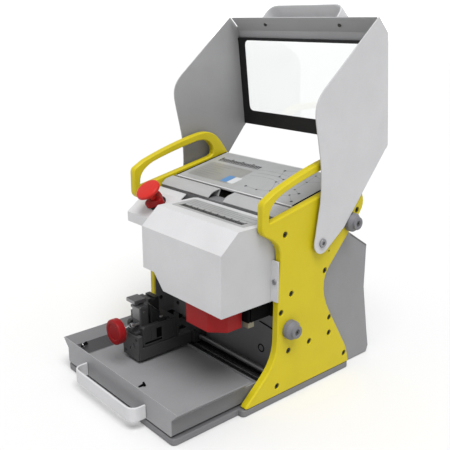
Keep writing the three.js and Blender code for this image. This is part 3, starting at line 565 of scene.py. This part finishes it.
def base_and_wall():
    refine("base_plate", 0.8, 2)
    refine("inner_wall", 0.3, 1)
    bm = bmesh.new()
    turned(bm, [(0, -3), (4.9, -3), (4.9, -0.1), (4.5, 0.3), (0, 0.4)], at(88, 207, 54), (0, -1, 0), 36)
    dress(link_mesh("wall_port_plug", bm), "frame", "dark_grey")
    bm = bmesh.new()
    ring = [(4.8, 0), (6.6, 0), (6.6, 0.5), (6.2, 0.7), (4.8, 0.5), (4.8, 0)]
    turned(bm, ring, at(88, 206.9, 54), (0, -1, 0), 36)
    dress(link_mesh("wall_port_ring", bm), "frame", "black_plastic", EXTRA["motor_black"])
    bm = bmesh.new()
    prism(bm, [(84, 98.6), (128, 93.4), (128, 91.8), (84, 97)], "y", 205.2, 206.9)
    dress(link_mesh("wall_cable", bm), "frame", "black_plastic", EXTRA["motor_black"], (), 0.5)
    tops = [at(x, 205.6, z) for x in (-122, 122) for z in (60, 140, 220)]
    screws("wall_screws", "frame", tops, (0, -1, 0), 3.4, 1.6, "black_steel", EXTRA["screw_black"])
    bm = bmesh.new()
    block(bm, -137.8, -137.0, 178, 206.5, 10.5, 51.7)
    dress(link_mesh("wall_liner_foot", bm), "frame", "dark_grey")
    tops = [at(-134.2, 180, z) for z in (74, 132)]
    screws("liner_screws", "frame", tops, (1, 0, 0), 3.4, 1.8, "black_steel", EXTRA["screw_black"])


def rear_panel():
    refine("rear_housing", 0.9, 3)
    tops = []
    for x in (-126, 126):
        tops += [at(x, 388.9, 184), at(x, 388.9, 130)]
    screws("rear_screws", "frame", tops, (0, 1, 0), 3.2, 1.6, "black_steel", EXTRA["screw_black"])
    for side, name in ((1, "right"), (-1, "left")):
        # A thin dark strip along the sloping top edge of each side of the housing: a painted shade line.
        bm = bmesh.new()
        shade_strip = [(345.4, 219.6), (386.6, 193.2), (386.6, 191.4), (345.4, 217.8)]
        prism(bm, shade_strip, "x", *sorted((side * 136.9, side * 137.25)))
        dress(link_mesh("housing_edge_shade_line_" + name, bm), "frame", "housing_grey", EXTRA["screw_dark"])
    refine("power_module", 0.5, 2)
    refine("power_rocker", 0.5, 3)


# ---- console ------------------------------------------------------------------------
def slope(x, y, lift):
    """A point on the console panel, lift millimetres above its face."""
    z = PANEL_FOOT[1] + (y - PANEL_FOOT[0]) * PANEL_RISE / PANEL_RUN
    return at(x, y, z) + PANEL_UP / math.hypot(PANEL_RUN, PANEL_RISE) * (lift * MM)


def panel_slab(bm, corners, low, high):
    """Adds a thin slab over the console panel, between two heights above its face."""
    bottom = [bm.verts.new(slope(x, y, low)) for x, y in corners]
    top = [bm.verts.new(slope(x, y, high)) for x, y in corners]
    bm.faces.new(bottom[::-1])
    bm.faces.new(top)
    bridge(bm, bottom, top)


def film(name, corners, low, high, look, slot="white"):
    """A flat sheet lying on the console panel. corners are (x, y) on the panel."""
    bm = bmesh.new()
    panel_slab(bm, corners, low, high)
    return dress(link_mesh(name, bm), "frame", slot, look)


def round_corners(x0, x1, y0, y1, r, steps=5):
    """The outline of a rectangle whose corners are rounded."""
    points = []
    left, right, front, back = x0 + r, x1 - r, y0 + r, y1 - r
    for cx, cy, start in ((right, back, 0), (left, back, 90), (left, front, 180), (right, front, 270)):
        for i in range(steps + 1):
            a = math.radians(start + 90 * i / steps)
            points.append((cx + r * math.cos(a), cy + r * math.sin(a)))
    return points


def ribbon(bm, points, half, low, high):
    """Adds a thin printed line that follows points, given as (x, y) on the console panel."""
    for a, b in zip(points, points[1:]):
        p, q = Vector(a), Vector(b)
        side = Vector((p.y - q.y, q.x - p.x)).normalized() * half
        panel_slab(bm, [p - side, q - side, q + side, p + side], low, high)


def console():
    refine("console_panel", 0.4, 2)
    film("console_film", round_corners(-130.8, 130.8, 220, 327, 4), 0.05, 0.30, EXTRA["film"])
    # Black strips laid along the panel's two sides: painted shade of the gap there.
    for side, name in ((1, "right"), (-1, "left")):
        strip = [(side * x, y) for x, y in ((131.6, 218), (134.3, 218), (134.3, 329), (131.6, 329))]
        film("console_side_shade_" + name, strip[::side], 0.05, 0.5, EXTRA["motor_black"], "black_plastic")
    film("console_picture", round_corners(-121, -17, 231, 286, 5), 0.32, 0.36, EXTRA["film_grey"])
    film("console_badge", round_corners(-41, -26, 234, 256, 2), 0.40, 0.44, EXTRA["film_blue"])
    film("console_badge_light", round_corners(-25, -10, 234, 256, 2), 0.40, 0.44, EXTRA["pale_ink"])
    bm = bmesh.new()
    for i in range(20):
        tall = 11 if i % 5 == 0 else 8
        ribbon(bm, [(-114 + i * 5, 297), (-114 + i * 5, 297 + tall)], 1.75, 0.31, 0.36)
    ribbon(bm, [(-116, 295), (-17, 295)], 0.8, 0.31, 0.36)
    dress(link_mesh("console_scale", bm), "frame", "white", EXTRA["ink"])
    bm = bmesh.new()
    for row in range(6):
        y = 276 - row * 7
        ribbon(bm, [(-114, y), (-62 - 9 * (row % 3), y)], 0.45, 0.37, 0.40)
    for k in range(3):
        arc = []
        for i in range(19):
            a = math.radians(200 - 8 * i)
            arc.append((22 + (62 + 16 * k) * math.cos(a), 236 + (40 + 11 * k) * math.sin(a)))
        arc = [p for p in arc if 222 < p[1] < 325 and p[0] < 129 and (p[0] > -12 or p[1] > 288)]
        ribbon(bm, arc, 0.3, 0.31, 0.34)
    dress(link_mesh("console_print", bm), "frame", "white", EXTRA["soft_ink"])
    dots = [(16, 238), (42, 236), (49, 270), (66, 242), (39, 288), (53, 282), (30, 309), (94, 290), (96, 262),
            (112, 254), (103, 244), (90, 314), (70, 301), (118, 303), (77, 262), (121, 229), (60, 318),
            (84, 231)]
    links = [(0, 1), (1, 3), (3, 2), (2, 5), (5, 4), (4, 6), (5, 12), (12, 7), (7, 8), (8, 9), (9, 10),
             (8, 14), (14, 3), (7, 11), (11, 13), (10, 15), (7, 13), (2, 14), (12, 11), (6, 16), (16, 12),
             (17, 10), (3, 17)]
    bm = bmesh.new()
    for k, (x, y) in enumerate(dots):
        r = 1.7 + 0.5 * (k % 3 == 0)
        turned(bm, [(r, 0.0), (r, 0.08), (0, 0.10)], slope(x, y, 0.36), PANEL_UP, 16)
    dress(link_mesh("console_dots", bm), "frame", "white", EXTRA["ink"])
    bm = bmesh.new()
    for a, b in links:
        p, q = Vector(dots[a]), Vector(dots[b])
        along = (q - p).normalized()
        ribbon(bm, [p + along * 2.6, q - along * 2.6], 0.3, 0.31, 0.35)
    dress(link_mesh("console_lines", bm), "frame", "white", EXTRA["soft_ink"])
    refine("console_chassis", 0.4, 2, look=EXTRA["chassis"])
    refine("tablet_rest_left", 0.2, 2, look=EXTRA["rest_white"])
    refine("tablet_rest_right", 0.2, 2, look=EXTRA["rest_white"])


# ---- head cover and stop button -----------------------------------------------------
def head_cover():
    refine("head_cover", 0.45, 2, look=EXTRA["head_white"])
    refine("stop_panel", 0.45, 2)
    bm = bmesh.new()
    prism(bm, round_corners(-34, 126, 133, 178, 3), "z", LABEL_Z, LABEL_Z + 0.20)
    dress(link_mesh("head_label", bm), "frame", "white", EXTRA["film"])
    bm = bmesh.new()
    for i in range(46):
        x = -22 + i * 3.0
        tall = 10.5 if i % 5 == 0 else 7.5
        block(bm, x, x + 2.4, 140.4, 140.4 + tall, LABEL_Z + 0.23, LABEL_Z + 0.31)
    block(bm, -24, 116, 139.4, 140.6, LABEL_Z + 0.23, LABEL_Z + 0.31)
    dress(link_mesh("head_scale_marks", bm), "frame", "white", EXTRA["ink"])
    bm = bmesh.new()
    for y, x1 in ((156, 118), (162, 96), (168, 118), (174, 70)):
        block(bm, -26, x1, y, y + 1.1, LABEL_Z + 0.23, LABEL_Z + 0.29)
    dress(link_mesh("head_scale_rules", bm), "frame", "white", EXTRA["soft_ink"])
    tops = [at(143.5, 174.4, 186.5)]
    screws("flange_screw", "frame", tops, (0, -1, 0), 3.9, 1.8, "steel", EXTRA["pin_grey"])


STOP_LEAN = math.atan2(30.5, 42)
STOP_AXIS = Vector((0, -math.sin(STOP_LEAN), math.cos(STOP_LEAN)))
STOP_FOOT = at(-86.5, 146, 257.2)


def stop_grip(bm):
    """Adds the three-lobed grip, with its round bore, as rings that close on themselves."""
    side, count, bore = Vector((1, 0, 0)), 96, 5.6
    other = STOP_AXIS.cross(side)
    lobes = []
    for i in range(count):
        a = 2 * math.pi * i / count
        lobes.append(3.2 * math.cos(3 * a) + 0.5 * math.cos(6 * a))
    outside = [(h, [13.6 + grow + lobe for lobe in lobes])
               for h, grow in ((3.4, 0.0), (4.0, 0.6), (10.5, 0.2), (12.6, -0.6), (13.8, -2.0))]
    inside = [(h, [bore] * count) for h in (13.8, 3.4)]
    rings = []
    for h, radii in outside + inside:
        rings.append(add_ring(bm, STOP_FOOT + STOP_AXIS * (h * MM), side, other, radii))
    for a, b in zip(rings, rings[1:] + rings[:1]):
        bridge(bm, a, b)


def stop_button():
    bm = bmesh.new()
    collar = [(8, 0.3), (14.2, 0.3), (14.2, 2.0), (13.4, 2.8), (8, 2.8), (8, 0.3)]
    turned(bm, collar, STOP_FOOT, STOP_AXIS, 64)
    dress(link_mesh("stop_collar_body", bm), "frame", "black_plastic", None, ("stop_collar",), 0.25)
    bm = bmesh.new()
    stop_grip(bm)
    dress(link_mesh("stop_grip_body", bm), "stop_twist", "stop_red", EXTRA["stop_red_shaded"], ("stop_grip",))
    bm = bmesh.new()
    stem = [(0, 5), (5, 5), (5, 19.5), (6.4, 21.6), (9.5, 23.8)]
    cap = [(14, 25.6), (18.4, 27.6), (20, 29.2), (20.2, 31), (19.8, 32.8), (18.6, 34.2), (16, 35.1),
           (12, 35.5), (0, 35.9)]
    turned(bm, stem + cap, STOP_FOOT, STOP_AXIS, 72)
    dress(link_mesh("stop_cap_body", bm), "stop_push", "stop_red", None, ("stop_cap",), 0.15)


# ---- cover --------------------------------------------------------------------------
WINDOW_LEAN = math.radians(6.84)


def on_window(depth, height):
    """(y, z) of a point depth behind the window's front face and height above its foot."""
    y = 391.8 + depth * math.cos(WINDOW_LEAN) - height * math.sin(WINDOW_LEAN)
    z = 353 + depth * math.sin(WINDOW_LEAN) + height * math.cos(WINDOW_LEAN)
    return y, z


def cover():
    refine("cover_cheek_right", 0.25, 2)
    refine("cover_cheek_left", 0.25, 2, look=EXTRA["cheek_shaded"])
    tool = bmesh.new()
    prism(tool, [(-150.9, 350), (-152.6, 372), (-156, 372), (-156, 350)], "z", 518, 545)
    # The top panel takes the darker cover coat, a painted shade.
    refine("cover_top", 0.4, 2, tool, EXTRA["cover_shaded"])
    bm = bmesh.new()
    foot = [(378.9, 515.9), (381, 500.6), (379.6, 500.6), (377, 514.9)]
    prism(bm, [(372.4, 522.5)] + foot + [(371.4, 521.2)], "x", -155.45, -153.1)
    prism(bm, [(357, 536.3)] + foot + [(356, 535.1)], "x", 153.1, 155.45)
    dress(link_mesh("cover_corner_welds", bm), "cover", "cover_white", EXTRA["cover_shaded"])
    refine("window_frame", 0.3, 2, look=LOOK["black_plastic"])
    seal = [(-0.5, 147.8), (-0.5, 151.9), (5.0, 151.9), (5.0, 150.65), (-0.05, 150.65), (-0.05, 147.8)]
    bm = bmesh.new()
    prism(bm, [on_window(*p) for p in seal], "x", -154.8, 154.8)
    dress(link_mesh("window_seal", bm), "cover", "black_plastic")
    refine("cover_handle", 1.0, 3)
    normal = Vector((0, 0.746, 0.667))
    tops = [at(x, 367.85, 527.3) - normal * 0.0038 for x in (-78.7, 78.7)]
    screws("cover_handle_screws", "cover", tops, -normal, 3.0, 1.8, "steel", EXTRA["screw_dark"])


def pivots_and_stops():
    washer = [(0, 0), (9, 0), (9, 4.3), (8.6, 4.7), (4.8, 4.7), (4.8, 7.7)]
    head = [(6.4, 7.7), (6.6, 8.0), (6.6, 9.4), (6.0, 10.0), (3.2, 10.0), (3.0, 9.7), (3.0, 7.4), (0, 7.0)]
    rubber = [(0, 0), (13.8, 0), (14.2, 0.4), (14.2, 7.4), (13.9, 8.2), (13, 9.4), (10.7, 11.8), (9.9, 12.8),
              (9.8, 15.4), (9.4, 16.2), (8.8, 16.4), (4.8, 16.4), (4.4, 16.0), (4.4, 12.6), (0, 12.6)]
    socket = (10, 11, 12)
    for side, name in ((1, "right"), (-1, "left")):
        out = Vector((side, 0, 0))
        bm = bmesh.new()
        turned(bm, washer + head, at((PLATE_FACE + 0.3) * side, *PIVOT), out, 36, socket)
        dress(link_mesh("pivot_" + name, bm), "frame", "steel", EXTRA["pin_grey"], ("pivot_pin_" + name,))
        for kind, y, z in RUBBER_STOPS:
            foot = at((PLATE_FACE + 0.3) * side, y, z)
            node = f"bumper_{kind}_{name}"
            bm = bmesh.new()
            turned(bm, rubber, foot, out, 48)
            dress(link_mesh(node + "_body", bm), "frame", "rubber", None, (node,))
            tops = [foot + out * 15.7 * MM]
            screws(node + "_screw", "frame", tops, out, 4.0, 3.0, "steel", EXTRA["screw_dark"])


# ---- tray ---------------------------------------------------------------------------
def tray():
    refine("chip_tray", 0.35, 2, look=EXTRA["tray_grey"])
    refine("tray_handle", 1.2, 3)
    bm = bmesh.new()
    lean = Vector((3, 8.5, 4)).normalized()
    foot = at(4.3, 37.5, 14)
    turned(bm, [(0, 0), (1.7, 0), (1.7, 8), (0, 8)], foot, lean, 16)
    socket_screw(bm, foot + lean * 11 * MM, lean, 3.3, 3.2)
    dress(link_mesh("tray_floor_screw", bm), "tray", "black_steel", EXTRA["motor_black"])
    bm = bmesh.new()
    foot = at(-135.4, 22, 32.3)
    turned(bm, [(0, 0), (1.7, 0), (1.7, 8), (0, 8)], foot, lean, 16)
    turned(bm, [(0, 8), (3.0, 8), (3.0, 11), (0, 11)], foot, lean, 6)
    dress(link_mesh("tray_wall_screw", bm), "tray", "black_steel", EXTRA["motor_black"])
    bm = bmesh.new()
    turned(bm, [(1.9, 3.0), (4.2, 3.0), (4.2, 4.6), (1.9, 4.6), (1.9, 3.0)], foot, lean, 24)
    dress(link_mesh("tray_wall_washer", bm), "tray", "steel", EXTRA["screw_bright"])


# ---- clamp table --------------------------------------------------------------------
def threaded(bm, foot, axis, length, r, pitch, sides=20, depth=0.35):
    """Adds a closed screw from the point foot along axis, with a helical thread cut depth deep into it."""
    axis = Vector(axis).normalized()
    side = axis.orthogonal().normalized()
    other = axis.cross(side)
    steps = int(length / pitch * 4)
    rings = []
    for k in range(steps + 1):
        h = length * k / steps
        waves = [(h / pitch - i / sides) % 1.0 for i in range(sides)]
        radii = [r - depth * abs(2 * wave - 1) for wave in waves]
        rings.append(add_ring(bm, foot + axis * (h * MM), side, other, radii))
    for a, b in zip(rings, rings[1:]):
        bridge(bm, a, b)
    bm.faces.new(rings[0])
    bm.faces.new(rings[-1])


def lead_screws():
    for name, foot, axis, length, r, pitch in (
            ("screw_x", at(-107.5, 192.3, 30), (1, 0, 0), 239, 4, 4),
            ("screw_y", at(CLAMP_X, 77, 34), (0, 1, 0), 102, 3, 2.5),
            ("screw_z", at(76.5, 193.5, 124), (0, 0, 1), 101.4, 4, 4)):
        bm = bmesh.new()
        threaded(bm, foot, axis, length, r, pitch)
        dress(link_mesh(name + "_thread", bm), body_of_node(name), "steel", EXTRA["screw_grey"], (name,))


def slide_and_saddle():
    for node, bevel in (("bed_x", 0.4), ("carriage_x", 0.6), ("jaw_front", 0.4)):
        refine(node, bevel, 2)
    tool = bmesh.new()
    for groove in ((88.5, 122, 44.5, 48.5), (110.5, 121.5, 49.5, 67), (141.8, 142.8, 43, 75.5),
                   (100, 100.8, 50, 75.5)):
        block(tool, -51.7, -50, *groove)
    refine("saddle_y", 0.4, 2, tool)
    bm = bmesh.new()
    block(bm, -60, -50.8, 151.4, 155.4, 43, 80)
    dress(link_mesh("saddle_end_plate", bm), "clamp", "black_steel", None, (), 0.4)
    # Black strips in the bottoms of the cut grooves: painted shade in the grooves.
    bm = bmesh.new()
    block(bm, -51.9, -51.4, 89, 121.5, 44.9, 48.1)
    block(bm, -51.9, -51.4, 111, 121, 49.9, 66.6)
    dress(link_mesh("saddle_groove_shade", bm), "clamp", "black_steel", EXTRA["motor_black"])
    refine("motor_x", 0.8, 2, look=EXTRA["motor_black"])
    refine("jaw_rear", 0.4, 2, look=EXTRA["jaw_dark"])
    refine("rail_x_front", 0.6, 2, look=EXTRA["rail_painted_highlight"])
    refine("rail_x_rear", 0.6, 2, look=EXTRA["rail_dark"])
    tool = bmesh.new()
    prism(tool, [(-67.5, 46.5), (-64.5, 46.5), (-60.5, 38), (-63.5, 38)], "y", 75, 80)
    block(tool, -52, -49, 75, 79, 19, 32)
    refine("arm_y", 0.5, 2, tool, look=EXTRA["arm_grey"])


def clamp_knob():
    bm = bmesh.new()
    face = [(0, 0.9), (12.6, 0.9), (13.4, 0.3), (18.4, 0), (19.5, 0.4), (20.1, 1.1), (20.4, 2.3)]
    back = [(20.4, 10.4), (20, 11.8), (19, 12.7), (17, 13), (9, 13.2), (8.2, 13.9), (8, 16.2), (0, 16.2)]
    turned(bm, face + back, at(CLAMP_X, 44.5, CLAMP_SCREW_Z), (0, 1, 0), 72)
    dress(link_mesh("clamp_knob_body", bm), "knob", "guard_red", EXTRA["knob_red"], ("clamp_knob",))
    bm = bmesh.new()
    threaded(bm, at(CLAMP_X, 61, CLAMP_SCREW_Z), (0, 1, 0), 67, 4, 2)
    dress(link_mesh("clamp_screw_thread", bm), "knob", "steel", EXTRA["screw_grey"], ("clamp_screw",))


def clamp_jaws():
    bm = bmesh.new()
    socket_screw(bm, at(-64, 71, 77.5), (0, -1, 0), 4.3, 5)
    turned(bm, [(0, 0), (2.4, 0), (2.4, 12), (0, 12)], at(-64, 75, 77.5), (0, 1, 0), 20)
    dress(link_mesh("jaw_stop_screw", bm), "moving_jaw", "steel", EXTRA["screw_bright"])
    bm = bmesh.new()
    socket_screw(bm, at(-82.5, 86.6, 86.5), (0, -1, 0), 3.6, 2.4)
    dress(link_mesh("jaw_spring_screw", bm), "moving_jaw", "jaw_steel", EXTRA["screw_dark"])
    bm = bmesh.new()
    socket_screw(bm, at(-56.5, 124, 82.6), (0, 0, 1), 3.0, 2.4)
    dress(link_mesh("jaw_ledge_screw", bm), "clamp", "steel", EXTRA["screw_bright"])
    bm = bmesh.new()
    prism(bm, [(106.6, 104.9), (108.2, 104.9), (120.6, 92.6), (120.0, 91.6), (107.8, 103.8)], "x", -64.5, -61)
    dress(link_mesh("jaw_guide_strip", bm), "clamp", "steel", EXTRA["screw_bright"])
    bm = bmesh.new()
    block(bm, -59.3, -58.4, 87.5, 101, 66.5, 103)
    dress(link_mesh("jaw_side_plate", bm), "moving_jaw", "black_steel", None, (), 0.3)
    tops = [at(-57.8, 94, 96)]
    screws("jaw_side_screw", "moving_jaw", tops, (1, 0, 0), 2.4, 1.2, "steel", EXTRA["screw_dark"])
    # Thin light grey sheets on the jaw's front faces: painted light on faces turned to the front.
    bm = bmesh.new()
    block(bm, -89, -66.8, 81.3, 82.3, 110, 115)
    block(bm, -79, -60, 85.2, 86.3, 84, 103.5)
    dress(link_mesh("jaw_front_lit_sheets", bm), "moving_jaw", "steel", EXTRA["jaw_painted_light"], (), 0.25)
    tops = [at(x, 138, 76.2) for x in (-89, -57)]
    screws("saddle_screws", "clamp", tops, (0, 0, 1), 3.2, 2.0, "black_steel", EXTRA["screw_black"])


def arm_screws():
    front = (0, -1, 0)
    tops = [at(-79, 75.2, 54.5)]
    screws("arm_front_screw", "cross_slide", tops, front, 2.8, 1.8, "black_steel", EXTRA["screw_dark"])
    tops = [at(-89, 75.4, 27), at(-57, 75.4, 55)]
    screws("arm_corner_screws", "cross_slide", tops, front, 2.6, 1.6, "black_steel", EXTRA["screw_black"])
    tops = [at(x, y, 42.0) for x in (-98, -48) for y in (184.5, 200.5)]
    screws("carriage_screws", "cross_slide", tops, (0, 0, 1), 2.8, 2.0, "black_steel", EXTRA["screw_black"])


# ---- spindle head -------------------------------------------------------------------
def spindle_head():
    for node, bevel in (("spindle_guard", 0.8), ("guard_bracket", 0.5), ("rail_z", 0.4), ("carriage_z", 0.6),
                        ("spindle_plate", 0.6)):
        refine(node, bevel, 2)
    refine("motor_z", 0.6, 2, look=EXTRA["motor_black"])
    tool = bmesh.new()
    block(tool, 128, 132, 142.6, 144.6, 125, 196)
    refine("spindle_motor", 0.7, 2, tool, EXTRA["motor_black"])
    # A black block beside the right end of the spindle motor, filling a dark area seen there.
    bm = bmesh.new()
    block(bm, 131.2, 136.6, 179.4, 190, 131, 190)
    dress(link_mesh("motor_side_black_block", bm), "head", "black_plastic", EXTRA["motor_black"], (), 0.6)
    bm = bmesh.new()
    block(bm, 118, 129.5, 140.5, 152, 121.5, 130.1)
    dress(link_mesh("motor_connector", bm), "head", "nylon", EXTRA["connector"], (), 0.8)
    bm = bmesh.new()
    threaded(bm, at(76.5, 114, 130), (0, 0, 1), 6, 3.0, 6, 24, 0.9)
    turned(bm, [(0, 0), (2.2, 0), (3.1, 1.2), (3.1, 9.7), (0, 9.7)], at(76.5, 114, 136), (0, 0, 1), 24)
    dress(link_mesh("cutter_flutes", bm), "spindle", "jaw_steel", None, ("cutter",))


def remaining_nodes():
    """CAD nodes that keep their own mesh get their material here."""
    for name, obj in frame["nodes"].items():
        if obj.hide_render:
            continue
        obj.data.materials.clear()
        obj.data.materials.append(LOOK[slot_of_node(name)])


camera()
studio()
side_plates()
base_and_wall()
rear_panel()
console()
head_cover()
stop_button()
cover()
pivots_and_stops()
tray()
slide_and_saddle()
clamp_knob()
clamp_jaws()
lead_screws()
arm_screws()
spindle_head()
remaining_nodes()
